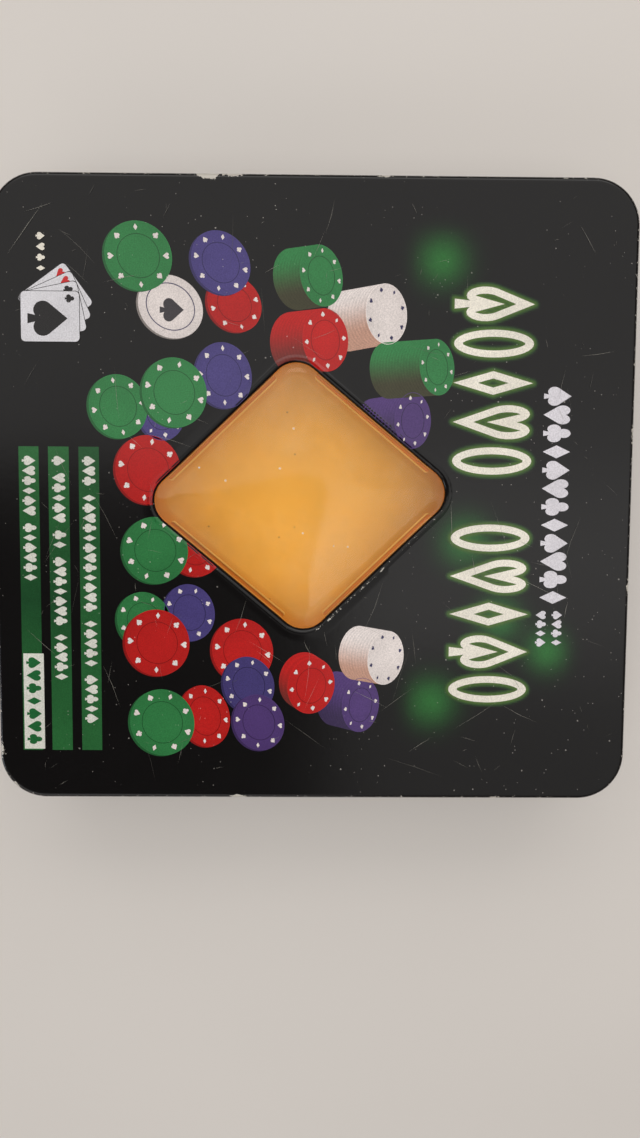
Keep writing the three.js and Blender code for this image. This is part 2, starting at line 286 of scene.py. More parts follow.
class Shader:
    """A node material, with short calls for its nodes. Patterns read the object's own coordinates."""

    def __init__(self, name):
        self.material = bpy.data.materials.new(name)
        self.material.use_nodes = True
        self.nodes = self.material.node_tree.nodes
        self.links = self.material.node_tree.links
        self.bsdf = self.nodes["Principled BSDF"]
        self.coords = self.nodes.new("ShaderNodeTexCoord").outputs["Object"]

    def put(self, socket, value):
        if isinstance(value, bpy.types.NodeSocket):
            self.links.new(value, socket)
        elif value is not None:
            socket.default_value = value

    def node(self, kind, **inputs):
        made = self.nodes.new(kind)
        for key, value in inputs.items():
            self.put(made.inputs[key], value)
        return made

    def math(self, operation, a, b=None, c=None, clamp=False):
        made = self.nodes.new("ShaderNodeMath")
        made.operation = operation
        made.use_clamp = clamp
        for socket, value in zip(made.inputs, (a, b, c)):
            self.put(socket, value)
        return made.outputs[0]

    def noise(self, scale, detail=2.0, rough=0.5, vector=None):
        made = self.node("ShaderNodeTexNoise", Scale=scale, Detail=detail, Roughness=rough)
        self.put(made.inputs["Vector"], vector or self.coords)
        return made.outputs[0]

    def ramp(self, value, low, high, to_low=0.0, to_high=1.0):
        made = self.nodes.new("ShaderNodeMapRange")
        keys = ("Value", "From Min", "From Max", "To Min", "To Max")
        for key, v in zip(keys, (value, low, high, to_low, to_high)):
            self.put(made.inputs[key], v)
        return made.outputs[0]

    def varied(self, low, high, scale, detail=3.0, rough=0.5):
        """A noise whose usual values run from low to high."""
        return self.ramp(self.noise(scale, detail, rough), *NOISE_RANGE, low, high)

    def mix(self, factor, a, b, blend="MIX"):
        made = self.nodes.new("ShaderNodeMix")
        made.data_type = "RGBA"
        made.blend_type = blend
        self.put(made.inputs[0], factor)
        self.put(made.inputs[6], a)
        self.put(made.inputs[7], b)
        return made.outputs[2]

    def toned(self, color, tone):
        """The colour made lighter or darker by a factor."""
        shade = self.node("ShaderNodeCombineColor", Red=tone, Green=tone, Blue=tone).outputs[0]
        return self.mix(1.0, color, shade, "MULTIPLY")

    def bump(self, scale, strength):
        height = self.noise(scale)
        return self.node("ShaderNodeBump", Strength=strength, Distance=BUMP_DEPTH, Height=height).outputs[0]

    def attribute(self, name, output="Color"):
        made = self.nodes.new("ShaderNodeAttribute")
        made.attribute_name = name
        return made.outputs[output]

    def specks(self, scale, size, share):
        """Small dots: 1 inside about share of the cells of a grid with that many cells a metre."""
        cell = self.node("ShaderNodeTexVoronoi", Scale=scale, Vector=self.coords).outputs
        near = self.math("LESS_THAN", cell["Distance"], size)
        parts = self.node("ShaderNodeSeparateColor", Color=cell["Color"]).outputs
        return self.math("MULTIPLY", near, self.math("LESS_THAN", parts[0], share))

    def worn_through(self, scale, weight, limit):
        """1 where the piece's wear and a ragged noise together pass the limit."""
        worn = self.math("MULTIPLY", self.attribute("Wear", "Fac"), weight)
        ragged = self.noise(scale, detail=5.0, rough=0.7)
        return self.math("GREATER_THAN", self.math("ADD", ragged, worn), limit)

    def finish(self, color, roughness, metallic=0.0, normal=None):
        looks = {"Base Color": color, "Roughness": roughness, "Metallic": metallic, "Normal": normal}
        for key, value in looks.items():
            self.put(self.bsdf.inputs[key], value)
        return self.material


def printed_varnish(name, print_color):
    """Gloss varnish over print: the same wear and dust run over the black and over the inks."""
    s = Shader(name)
    color = s.attribute("Ink") if print_color is None else print_color
    grain = s.varied(0.86, 1.14, 2600, detail=1.0)
    mottle = s.varied(0.92, 1.08, 70, detail=4.0, rough=0.6)
    shaded = s.toned(color, s.math("MULTIPLY", grain, mottle))
    dots = s.math("MAXIMUM", s.specks(900, 0.15, 0.09), s.specks(300, 0.08, 0.14))
    patches = s.ramp(s.noise(24, detail=3.0, rough=0.65), 0.48, 0.62)
    place = s.node("ShaderNodeSeparateXYZ", Vector=s.coords).outputs
    corner = s.ramp(s.math("MINIMUM", place[0], place[1]), -0.005, 0.05, 0.0, 0.7)
    dust = s.math("MULTIPLY", dots, s.math("MAXIMUM", patches, corner))
    marks = s.math("MULTIPLY", dust, 0.5)
    marked = s.mix(marks, shaded, linear(200, 194, 186))
    final = s.mix(s.worn_through(900, 0.32, 0.84), marked, linear(196, 190, 180))
    haze = s.varied(-0.03, 0.05, 9)
    rough = s.math("ADD", s.math("ADD", 0.18, haze), s.math("MULTIPLY", marks, 0.4))
    s.bsdf.inputs["IOR"].default_value = VARNISH_IOR
    return s.finish(final, rough, 0.0, s.bump(420, 0.06))


def gold_lacquer(name, color, roughness, metallic):
    s = Shader(name)
    base = s.toned(color, s.varied(0.93, 1.06, 45, detail=4.0, rough=0.6))
    base = s.mix(s.math("MULTIPLY", s.specks(260, 0.1, 0.05), 0.5), base, linear(110, 70, 30))
    rough = s.varied(roughness - 0.05, roughness + 0.07, 160)
    return s.finish(base, rough, metallic, s.bump(700, 0.04))


def black_lacquer():
    """Black paint on the body, with rubs that run round it."""
    s = Shader("black_lacquer")
    stretched = s.node("ShaderNodeMapping", Vector=s.coords)
    stretched.inputs["Scale"].default_value = (1, 1, 14)
    streaks = s.noise(90, detail=3.0, vector=stretched.outputs[0])
    rubs = s.ramp(streaks, 0.62, 0.8, 0.0, 0.25)
    dust = s.math("MULTIPLY", s.specks(430, 0.14, 0.06), 0.35)
    base = s.mix(s.math("MAXIMUM", rubs, dust), BLACK, linear(150, 146, 140))
    base = s.mix(s.worn_through(1100, 0.3, 0.86), base, linear(190, 184, 174))
    return s.finish(base, s.varied(0.24, 0.36, 60), 0.0, s.bump(380, 0.06))


def chip_plastic(name, color):
    s = Shader("chip_" + name)
    base = s.toned(color, s.varied(0.88, 1.1, 320, detail=4.0, rough=0.6))
    return s.finish(base, s.varied(0.38, 0.55, 500), 0.0, s.bump(1800, 0.12))


def clear_plastic():
    """Clear sheet: light goes straight through, with lint and a mirror gloss that grows at low angles."""
    s = Shader("clear_plastic")
    cloud = s.ramp(s.noise(30, detail=5.0, rough=0.7), 0.42, 0.75, 0.0, 0.04)
    border = s.attribute("Wear", "Fac")
    haze = s.math("ADD", cloud, s.math("MULTIPLY", border, 0.01))
    lint = s.math("MULTIPLY", s.specks(240, 0.09, 0.10), 0.55)
    facing = s.node("ShaderNodeLayerWeight", Blend=0.5).outputs["Facing"]
    gloss = s.math("MULTIPLY_ADD", s.math("POWER", facing, 5.0), 0.9, 0.03)
    share = s.math("ADD", gloss, s.math("MAXIMUM", haze, lint), clamp=True)
    mirror = s.math("DIVIDE", gloss, share)
    s.finish(linear(244, 240, 232), 0.06, mirror, s.bump(55, 0.03))
    tint = s.mix(border, (0.99, 0.97, 0.93, 1), (0.94, 0.82, 0.62, 1))
    clear = s.node("ShaderNodeBsdfTransparent", Color=tint)
    mixed = s.node("ShaderNodeMixShader", Fac=share)
    s.links.new(clear.outputs[0], mixed.inputs[1])
    s.links.new(s.bsdf.outputs[0], mixed.inputs[2])
    s.links.new(mixed.outputs[0], s.nodes["Material Output"].inputs["Surface"])
    return s.material


LID_BLACK = printed_varnish("lid_black", BLACK)
LID_INK = printed_varnish("lid_ink", None)
GOLD_TIN = gold_lacquer("gold_tin", linear(205, 150, 66), 0.3, 0.85)
GOLD_TAB = gold_lacquer("gold_tab", linear(226, 150, 56), 0.35, 0.5)
# Pale gold that paints the highlights on the tabs' rounded lip and crease
GOLD_PAINTED_HIGHLIGHT = gold_lacquer("gold_painted_highlight", linear(255, 226, 150), 0.4, 0.2)
GOLD_TRAY = gold_lacquer("gold_tray", GOLD, 0.55, 0.2)
BLACK_TIN = black_lacquer()
CLEAR = clear_plastic()
CHIP_COLORS = {
    "green": linear(28, 122, 64),
    "red": linear(186, 26, 36),
    "blue": linear(72, 62, 142),
    "white": linear(228, 222, 214),
}
CHIP_PLASTIC = {name: chip_plastic(name, color) for name, color in CHIP_COLORS.items()}
PIP_WHITE = chip_plastic("pips", linear(238, 234, 228))
PIP_NAVY = chip_plastic("navy_pips", linear(42, 40, 84))

# ---- Lid ----


# Lengths that the lid's straight sides are cut into, so that the wear can vary along them
SIDE_STEPS = 64
ROLL_STEPS = 6


def edge_roll(radius):
    """Quarter roll from the flat top down to the side, as (inset, z)."""
    made = []
    for k in range(ROLL_STEPS + 1):
        a = math.pi / 2 * k / ROLL_STEPS
        made.append((EDGE_ROLL - radius * math.sin(a), PANEL_TOP - EDGE_ROLL + radius * math.cos(a)))
    return made


# The bead beside the window and its rolled rim, as (offset from the window, height over the panel, wear)
BEAD = [(4.6, 0, 0), (2.4, 0, 0.1), (1.9, 0.2, 0.4), (1.4, 0.32, 0.85), (0.95, 0.22, 0.6)]
BEAD += [(0.45, -0.1, 0.2), (0.12, -0.45, 0.2), (0, -0.8, 0.3)]
# Where the lid's flat panel ends: in from the lid's side, and out from the window
PANEL_EDGE = 3.5
BEAD_REACH = BEAD[0][0]
# How much of the bead's wear there is on the window's upper right side, and on the others
BEAD_WEAR_RIGHT = 1.12
BEAD_WEAR = 0.45

# Chips and dents on the lid's edge, and two entries that paint a highlight: x, y, reach, strength
# The entries at (84, -101) and (97, -99) are a painted highlight on the edge roll at the lower left corner
DENTS_AND_PAINTED_HIGHLIGHT = [
    (-100, -34, 2.2, 3.0), (-100, -26, 1.6, 1.8), (-100, 22, 1.2, 1.0), (100, -25, 1.3, 2.4),
    (100, 61, 1.0, 1.6), (-20, 102, 1.2, 1.8), (30, 102, 1.0, 1.2), (84, -101, 2.5, 0.9),
    (-60, -102, 1.4, 1.4), (97, -99, 3.0, 0.7),
]


def edge_wear(x, y):
    return sum(
        strength * math.exp(-((x - dx) ** 2 + (y - dy) ** 2) / reach ** 2)
        for dx, dy, reach, strength in DENTS_AND_PAINTED_HIGHLIGHT
    )


def lid_side(b):
    """The lid's rounded edge, skirt and hem, and the inside of them."""
    outside = [(PANEL_EDGE, PANEL_TOP), (2.4, PANEL_TOP), *edge_roll(EDGE_ROLL), (0, 42.5), (0, 38)]
    outside += [(0, LID_FOOT + 0.35), (0.12, LID_FOOT + 0.1)]
    inside = [(0.35, LID_FOOT), (0.6, LID_FOOT), (0.8, LID_FOOT + 0.15), (0.85, LID_FOOT + 0.5)]
    inside += [(0.75, LID_FOOT + 1.1), (SHEET, LID_FOOT + 1.5), *edge_roll(EDGE_ROLL - SHEET)[::-1]]
    inside += [(PANEL_EDGE, PANEL_TOP - SHEET)]
    worn = [0.0, 0.0, 0.2, 0.45, 0.7, 0.75, 0.6, 0.35, 0.2, 0.1, 0.1, 0.6, 0.8] + [0.0] * len(inside)
    slots = [0] * (len(outside) + 1) + [1] * (len(inside) - 2)
    rings = [lifted(tin_ring(o, side_steps=SIDE_STEPS), z) for o, z in outside + inside]
    starts = b.rings(rings, slots, wear=worn)
    # More wear near the chips and dents, and the painted highlight at the lower left corner, on the upper
    # edge
    for k in range(starts[len(outside)]):
        x, y, z = b.points[k]
        b.wear[k] += edge_wear(x, y) * smooth_step(PANEL_TOP - 6, PANEL_TOP - 2, z)


def window_bead(b):
    """The bead round the window, its rolled rim, and the underside."""
    under = [(0.05, -0.95), (0.3, -1.0), (0.5, -0.8), (1.0, -SHEET), (BEAD_REACH, -SHEET)]
    section = [(e, z) for e, z, _ in BEAD] + under
    slots = [0] * (len(BEAD) - 1) + [1] * len(under)
    worn = [w for _, _, w in BEAD] + [0.0] * len(under)
    starts = b.rings([lifted(window_ring(e), PANEL_TOP + z) for e, z in section], slots, wear=worn)
    for k in range(starts[0], len(b.points)):
        x, y, _ = b.points[k]
        b.wear[k] *= BEAD_WEAR_RIGHT if x > 4 and y > 0 else BEAD_WEAR


def make_lid():
    b = Builder()
    lid_side(b)
    window_bead(b)
    panel = [tin_ring(PANEL_EDGE, side_steps=SIDE_STEPS), window_ring(BEAD_REACH)]
    b.flat(panel, PANEL_TOP, 0)
    b.flat(panel, PANEL_TOP - SHEET, 1, up=False)
    piece = b.build("lid", [LID_BLACK, GOLD_TIN])
    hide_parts("lid_shell")
    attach(piece, "lid")


# Places along a tab's section painted pale gold as a painted highlight: its rounded lip and the crease along
# its middle
TAB_PAINTED_HIGHLIGHT = (5, 6, 7, 9, 10)
TAB_DEPTH = 2.1


def tab_section(leg_top):
    """Section of a tab as (distance out from the window's outline, height), from its root round its lip."""
    under = leg_top - SHEET
    section = [(1.65, PANEL_TOP - SHEET), (1.65, leg_top), (1.5, leg_top - 0.3), (1.25, under)]
    section += [(-1.8, under), (-2.0, leg_top - 0.2), (-1.95, leg_top + 0.1), (-1.7, leg_top + 0.18)]
    section += [(-1.45, leg_top), (-0.3, leg_top), (-0.1, leg_top + 0.14), (0.1, leg_top), (1.15, leg_top)]
    return section + [(1.3, leg_top + 0.12), (1.3, PANEL_TOP - SHEET)]


def add_tab(b, start, end):
    """One tab along the side of the window from start to end, with rounded ends."""
    along = (end - start).normalized()
    out = Vector((along.y, -along.x))
    section = tab_section(PANEL_TOP - TAB_DEPTH)
    count = len(section)
    length = (end - start).length
    rings = []
    for s in (2.0, 2.5, length / 2, length - 2.5, length - 2.0):
        shrink = 0.75 if s in (2.0, length - 2.0) else 1.0
        rings.append([(*(start + along * s + out * (e if e > 0 else e * shrink)), z) for e, z in section])
    first_face = len(b.faces)
    starts = b.rings(rings)
    # Faces on the lip and the crease get the pale gold of the painted highlight
    for face in range(first_face, len(b.faces)):
        b.slots[face] = 1 if (face - first_face) % count in TAB_PAINTED_HIGHLIGHT else 0
    b.face(*range(starts[0] + count - 1, starts[0] - 1, -1))
    b.face(*range(starts[-1], starts[-1] + count))


def make_tabs():
    """The four folded tabs under the pane's border, showing the lid's gold inside."""
    b = Builder()
    outline = window_ring(0)
    arc = len(outline) // 4
    for k in range(4):
        add_tab(b, outline[k * arc + arc - 1], outline[(k + 1) % 4 * arc])
    piece = b.build("window_tabs", [GOLD_TAB, GOLD_PAINTED_HIGHLIGHT], smooth_angle=50)
    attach(piece, "lid")


PANE_THICKNESS = 0.5


def make_pane():
    """The pane: a border, a bevel and a low dome, as (distance out from the window, scale, height)."""
    b = Builder()
    border = PANEL_TOP - 1.3
    section = [(1.0, 1.0, 0.0), (0.6, 1.0, 0.0), (-0.4, 1.0, 0.0), (-0.9, 1.0, 0.06), (-2.2, 1.0, 0.42)]
    section += [(-3.6, 1.0, 0.78), (-4.3, 1.0, 0.88)]
    section += [(-4.3, s, 0.88 + 0.5 * (1 - s ** 2.4)) for s in (0.94, 0.85, 0.72, 0.56, 0.38, 0.2)]
    top = [lifted(window_ring(e, s), border + z) for e, s, z in section]
    low = [lifted(window_ring(e, s), border + z - PANE_THICKNESS) for e, s, z in section]
    hazy = [1.0, 1.0, 1.0, 0.9, 0.7, 0.3] + [0.0] * (len(section) - 6)
    starts = b.rings(low[::-1] + top, wear=hazy[::-1] + hazy)
    summit = border + 1.38
    peak = b.add_points([(*WINDOW_CENTRE, summit), (*WINDOW_CENTRE, summit - PANE_THICKNESS)])
    count = len(top[0])
    for k in range(count):
        n = (k + 1) % count
        b.face(starts[-1] + k, starts[-1] + n, peak)
        b.face(n, k, peak + 1)
    piece = b.build("window_pane_clear", [CLEAR], smooth_angle=60)
    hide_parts("window_pane")
    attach(piece, "lid")


# ---- Base ----


CURL_STEPS = 12


def make_wall():
    """The body, as a closed section: outside with its stop bead, curled rim, inside."""
    b = Builder()
    inner = NECK + SHEET
    foot = WALL_LOW[2]
    bead = LID_FOOT - 0.3
    curl_z = WALL_HIGH[2] - CURL_RADIUS
    # The stop bead as (distance out from the neck, distance below its top)
    bulge = [(0, 2.0), (0.25, 1.85), (0.8, 1.5), (1.1, 1.15), (1.15, 0.9), (1.1, 0.6), (0.8, 0.25)]
    bulge += [(0.25, 0.03), (0, 0)]
    outside = [(NECK, foot)] + [(NECK - out, bead - down) for out, down in bulge]
    curl = []
    for k in range(CURL_STEPS + 1):
        a = math.pi - math.pi * 1.5 * k / CURL_STEPS
        curl.append((NECK + CURL_RADIUS * (1 + math.cos(a)), curl_z + CURL_RADIUS * math.sin(a)))
    inside = [(inner, curl_z - 0.75), (inner, bead), (inner - 0.7, bead - 0.6), (inner - 0.9, bead - 0.95)]
    inside += [(inner - 0.7, bead - 1.3), (inner, bead - 1.9), (inner, foot)]
    profile = outside + curl + inside
    wear = [0.3, 0.0, 0.2, 0.5, 0.8, 0.9, 0.8, 0.5, 0.2, 0.1] + [0.6] * 7
    wear += [0.0] * (len(profile) - len(wear))
    painted = len(outside) + 3
    slots = [0] * painted + [1] * (len(profile) - painted)
    b.rings([lifted(tin_ring(o), z) for o, z in profile], slots, closed=True, wear=wear)
    piece = b.build("base_body", [BLACK_TIN, GOLD_TIN])
    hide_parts("base_wall")
    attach(piece, "base")


# Where the flat middle of the bottom starts, in from the tin's side
FLOOR_EDGE = 9.0


def make_bottom():
    """The bottom panel and the seam that grips the foot of the wall."""
    b = Builder()
    rim = 0.5
    lip = rim + SHEET
    floor = 1.2
    profile = [(FLOOR_EDGE, floor), (3.2, floor), (2.6, floor - 0.1), (2.35, floor - 0.35), (2.3, 0.35)]
    profile += [(2.2, 0.1), (1.95, 0.0), (rim + 0.35, 0.0), (rim + 0.1, 0.1), (rim, 0.35)]
    profile += [(rim, BOTTOM_HIGH - 0.25), (rim + 0.1, BOTTOM_HIGH - 0.05), (rim + 0.2, BOTTOM_HIGH)]
    profile += [(rim + 0.35, BOTTOM_HIGH - 0.05), (lip, BOTTOM_HIGH - 0.2), (lip, SHEET)]
    profile += [(1.9, SHEET), (1.9, floor + 0.1), (2.1, floor + 0.35), (2.5, floor + SHEET)]
    profile += [(FLOOR_EDGE, floor + SHEET)]
    wear = [0.4 if z < 0.2 else 0.0 for _, z in profile]
    b.rings([lifted(tin_ring(o), z) for o, z in profile], wear=wear)
    b.flat([tin_ring(FLOOR_EDGE)], floor, up=False)
    b.flat([tin_ring(FLOOR_EDGE)], floor + SHEET)
    piece = b.build("base_floor", [GOLD_TIN])
    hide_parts("base_bottom")
    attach(piece, "base")


# ---- Tray ----

TRAY_HALF = (TRAY_HIGH[0] - TRAY_SHEET, TRAY_HIGH[1] - TRAY_SHEET)
TRAY_RADIUS = CORNER_RADIUS - 3.3
# Cells of the tray's grid, which runs along the diagonals, and how many there are from the middle
CELL = 1.15
CELLS = 124
NOTCH_DEPTH = 12
BLEND = 1.2


def soft_min(a, b):
    """The smaller of the two, with a rounded change from one to the other."""
    h = max(BLEND - abs(a - b), 0.0) / BLEND
    return min(a, b) - h * h * BLEND / 4


def rounded_distance(u, v, half_u, half_v, radius):
    """Distance outside a rounded box, negative inside it."""
    du, dv = abs(u) - half_u + radius, abs(v) - half_v + radius
    return math.hypot(max(du, 0), max(dv, 0)) + min(max(du, dv), 0) - radius


def tray_height(u, v):
    """Height of the tray's upper face at a place given along the two diagonals."""
    floor = TRAY_FOOT + TRAY_SHEET
    fall = DECK_TOP - floor
    from_well = rounded_distance(u, v, WELL_HALF, WELL_HALF, WELL_RADIUS)
    z = DECK_TOP - fall * (1 - smooth_step(-2.4, 0.4, from_well))
    half_row = CHIPS_IN_ROW * CHIP_PITCH / 2 + 0.5
    for across, along in ((u, v), (-u, v), (v, u), (-v, u)):
        r = across - ROW_DISTANCE
        if abs(r) < TROUGH_RADIUS:
            bowl = min(CHIP_Z - math.sqrt(TROUGH_RADIUS ** 2 - r * r), DECK_TOP)
            ends = smooth_step(half_row - 0.2, half_row + 1.4, abs(along))
            z = soft_min(z, DECK_TOP * ends + bowl * (1 - ends))
        notch = rounded_distance(r + 12, along, 12, 10, 3)
        if notch < 2:
            z = soft_min(z, DECK_TOP - NOTCH_DEPTH * (1 - smooth_step(-1.8, 0.6, notch)))
    return z


def tray_core(x, y, unit=1):
    """The nearest place inside the tray's outline shrunk by the radius of its corners."""
    far_x, far_y = ((half - TRAY_RADIUS) * unit for half in TRAY_HALF)
    return Vector((max(-far_x, min(x, far_x)), max(-far_y, min(y, far_y))))


def tray_grid(bm):
    """The tray's upper face. Its outermost points are moved onto the outline."""
    verts = {}
    for i in range(-CELLS, CELLS + 1):
        for j in range(-CELLS, CELLS + 1):
            p = turned(Vector((i * CELL, j * CELL)), math.pi / 4)
            d = rounded_distance(p.x, p.y, *TRAY_HALF, TRAY_RADIUS)
            if d >= CELL * 1.5:
                continue
            if d > 0:
                core = tray_core(p.x, p.y)
                p = core + (p - core).normalized() * TRAY_RADIUS
            z = tray_height(i * CELL, j * CELL)
            verts[i, j] = (bm.verts.new(Vector((p.x, p.y, z)) * MM), d)
    for (i, j) in verts:
        keys = [(i, j), (i + 1, j), (i + 1, j + 1), (i, j + 1)]
        if all(key in verts for key in keys) and any(verts[key][1] < 0 for key in keys):
            bm.faces.new([verts[key][0] for key in keys])
    loose = [v for v in bm.verts if not v.link_faces]
    bmesh.ops.delete(bm, geom=loose, context="VERTS")
    bmesh.ops.remove_doubles(bm, verts=bm.verts, dist=0.05 * MM)


def tray_skirt(bm):
    """The tray's outer edge: a small roll and then a straight skirt, each given as (drop, distance out)."""
    rim = [e for e in bm.edges if e.is_boundary]
    for drop, out in ((0.35, 0.45), (DECK_TOP - TRAY_FOOT - 0.6, 0.15)):
        made = bmesh.ops.extrude_edge_only(bm, edges=rim)["geom"]
        rim = [g for g in made if isinstance(g, bmesh.types.BMEdge)]
        for v in {v for e in rim for v in e.verts}:
            push = v.co.xy - tray_core(v.co.x, v.co.y, MM)
            v.co += push.normalized().to_3d() * out * MM - Vector((0, 0, drop * MM))


def place_number(place):
    """One number for a place, in steps of a hundredth of a millimetre."""
    x, y, z = (round(c / MM * 100) for c in place)
    return (x * 40000 + y) * 40000 + z


def make_tray():
    bm = bmesh.new()
    tray_grid(bm)
    tray_skirt(bm)
    bmesh.ops.recalc_face_normals(bm, faces=bm.faces)
    # The extruded faces come in an order that changes from run to run
    bm.verts.sort(key=lambda v: place_number(v.co))
    bm.edges.sort(key=lambda e: place_number((e.verts[0].co + e.verts[1].co) / 2))
    bm.faces.sort(key=lambda f: place_number(f.calc_center_median()))
    mesh = bpy.data.meshes.new("gold_tray")
    bm.to_mesh(mesh)
    bm.free()
    mesh.materials.append(GOLD_TRAY)
    mesh.shade_smooth()
    piece = linked_object("gold_tray", mesh)
    sheet = piece.modifiers.new("sheet", "SOLIDIFY")
    sheet.thickness = 0.5 * MM
    sheet.offset = -1
    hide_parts("chip_tray", "tray_floor")
    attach(piece, "base")


# ---- Suit pips ----


def arc_points(x, y, radius, start, end, steps):
    return [
        Vector((x + radius * math.cos(math.radians(a)), y + radius * math.sin(math.radians(a))))
        for a in (start + (end - start) * k / steps for k in range(steps + 1))
    ]


def heart_body():
    """A heart in a box of one unit, going round anticlockwise."""
    right = arc_points(0.25, 0.2, 0.27, -39, 157.8, 12)
    left = arc_points(-0.25, 0.2, 0.27, 22.2, 219, 12)
    return [Vector((0, -0.5)), *right, *left[1:]]


def spade_body():
    return [Vector((-p.x, 0.06 - 0.88 * p.y)) for p in heart_body()]


def club_body():
    top = arc_points(0, 0.25, 0.25, -23.6, 203.6, 12)
    left = arc_points(-0.24, -0.1, 0.25, 87.6, 343.7, 12)
    right = arc_points(0.24, -0.1, 0.25, 196.3, 452.4, 12)
    return [*top, *left, *right]


STEM = [Vector(p) for p in ((-0.15, -0.5), (0.15, -0.5), (0.04, -0.12), (-0.04, -0.12))]
DIAMOND = [Vector(p) for p in ((0, 0.5), (-0.36, 0), (0, -0.5), (0.36, 0))]
SUITS = {
    "spade": [spade_body(), STEM],
    "heart": [heart_body()],
    "club": [club_body(), STEM],
    "diamond": [DIAMOND],
    "oval": [[Vector((p.x * 0.84, p.y)) for p in arc_points(0, 0, 0.5, 0, 350, 35)]],
}
SUIT_ORDER = ["spade", "heart", "club", "diamond"]


def suit_shapes(suit, x, y, width, height, angle):
    """The outlines that make up one suit: its body and, for spades and clubs, a stem."""
    return [
        [turned(Vector((p.x * width, p.y * height)), angle, Vector((x, y))) for p in outline]
        for outline in SUITS[suit]
    ]


# ---- Chips ----

CHIP_SIDES = 72
# The suits on a chip's face: how many, and how far out on a real chip
FACE_PIPS = 8
PIP_DISTANCE = 16.1


def chip_rings(low):
    """Half section of one chip as (radius, height), with a rounded edge and a shallow ring on each face."""
    t = CHIP_THICKNESS
    r = CHIP_RADIUS
    face = [(0, 0.12), (11.4, 0.12), (11.8, 0.0), (12.3, 0.0), (12.7, 0.12), (13.1, 0.12), (13.5, 0.0)]
    face += [(r - 0.5, 0.0), (r - 0.12, 0.12), (r, 0.5)]
    return [(x, low + z) for x, z in face] + [(r, low + t / 2)] + [(x, low + t - z) for x, z in face[::-1]]


def add_chip(b, placed, rings, shift, spin):
    starts = []
    for radius, along in rings[1:-1]:
        angles = [spin + 2 * math.pi * s / CHIP_SIDES for s in range(CHIP_SIDES)]
        circle = [(radius * math.cos(a) + shift[0], radius * math.sin(a) + shift[1]) for a in angles]
        starts.append(b.add_points([placed(x, y, along) for x, y in circle]))
    for first, second in zip(starts, starts[1:]):
        b.strip(first, second, CHIP_SIDES)
    for start, along in ((starts[0], rings[0][1]), (starts[-1], rings[-1][1])):
        centre = b.add_points([placed(*shift, along)])
        for s in range(CHIP_SIDES):
            b.face(start + s, start + (s + 1) % CHIP_SIDES, centre)


def add_face_pips(b, placed, along, shift, spin):
    for s in range(FACE_PIPS):
        a = spin + s * math.pi / 4
        x, y = PIP_DISTANCE * math.cos(a) + shift[0], PIP_DISTANCE * math.sin(a) + shift[1]
        for outline in suit_shapes(SUIT_ORDER[s % 4], x, y, 3.2, 3.4, a - math.pi / 2):
            start = b.add_points([placed(p.x, p.y, along) for p in outline])
            for tri in tessellate_polygon([[Vector((p.x, p.y, 0)) for p in outline]]):
                b.face(*(start + i for i in tri), slot=1)


def make_chip_block(name, angle, block):
    """Five chips on edge: separate closed bodies side by side. Only a row's end chips have pips."""
    b = Builder()
    rng = random.Random(name + str(block))
    turn = math.radians(angle)

    def placed(x, y, along):
        across = turned(Vector((ROW_DISTANCE + x, along)), turn)
        return (across.x, across.y, CHIP_Z + y)

    for k in range(CHIPS_IN_BLOCK):
        number = block * CHIPS_IN_BLOCK + k
        middle = (number - (CHIPS_IN_ROW - 1) / 2) * CHIP_PITCH
        shift = (rng.uniform(-0.12, 0.12), rng.uniform(-0.18, 0.05))
        spin = rng.uniform(0, math.pi)
        add_chip(b, placed, chip_rings(middle - CHIP_THICKNESS / 2), shift, spin)
        at_end = {0: -1, CHIPS_IN_ROW - 1: 1}.get(number)
        if at_end:
            add_face_pips(b, placed, middle + at_end * (CHIP_THICKNESS / 2 + 0.03), shift, spin)
    pips = PIP_NAVY if name == "white" else PIP_WHITE
    piece = b.build(f"{name}_chips_{block + 1}", [CHIP_PLASTIC[name], pips])
    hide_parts(f"chips_{name}_{block + 1}")
    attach(piece, "base")


# ---- Print on the lid ----

LAYER = 0.02
ELLIPSE_SIDES = 56
# How far a printed chip's edge shows beside its face
CHIP_LEAN = (0.35, -0.75)
INKS = {
    "green": linear(46, 122, 66),
    "red": linear(184, 20, 17),
    "blue": linear(72, 62, 122),
    "purple": linear(78, 54, 112),
    "white": linear(222, 212, 208),
}
STACK_SHADOWS = {
    "green": linear(62, 60, 40),
    "red": linear(112, 40, 34),
    "purple": linear(56, 42, 78),
    "white": linear(190, 146, 126),
}
NAVY = linear(52, 48, 86)


def tinted(color, factor):
    return (*(min(c * factor, 1.0) for c in color[:3]), 1.0)


def blended(a, b, t):
    return (*(x + (y - x) * t for x, y in zip(a[:3], b[:3])), 1.0)


def print_outline(b, outline, layer, color):
    b.flat([outline], PANEL_TOP + LAYER * layer, color=color)


def ellipse(x, y, a, c, tilt):
    angles = [2 * math.pi * k / ELLIPSE_SIDES for k in range(ELLIPSE_SIDES)]
    return [turned(Vector((a * math.cos(t), c * math.sin(t))), tilt, Vector((x, y))) for t in angles]


def print_disc(b, x, y, a, c, tilt, layer, inner, outer):
    """Filled ellipse whose colour runs from inner in the middle to outer at the edge."""
    z = PANEL_TOP + LAYER * layer
    centre = b.add_points([(x, y, z)], inner)
    starts = []
    for share in (0.35, 0.7, 1.0):
        ring = lifted(ellipse(x, y, a * share, c * share, tilt), z)
        starts.append(b.add_points(ring, blended(inner, outer, share ** 2)))
    for k in range(ELLIPSE_SIDES):
        b.face(centre, starts[0] + k, starts[0] + (k + 1) % ELLIPSE_SIDES)
    for first, second in zip(starts, starts[1:]):
        b.strip(first, second, ELLIPSE_SIDES)


def print_ring(b, x, y, a, c, tilt, width, layer, color):
    z = PANEL_TOP + LAYER * layer
    outer = b.add_points(lifted(ellipse(x, y, a, c, tilt), z), color)
    inner = b.add_points(lifted(ellipse(x, y, a - width, c - width, tilt), z), color)
    b.strip(inner, outer, ELLIPSE_SIDES)


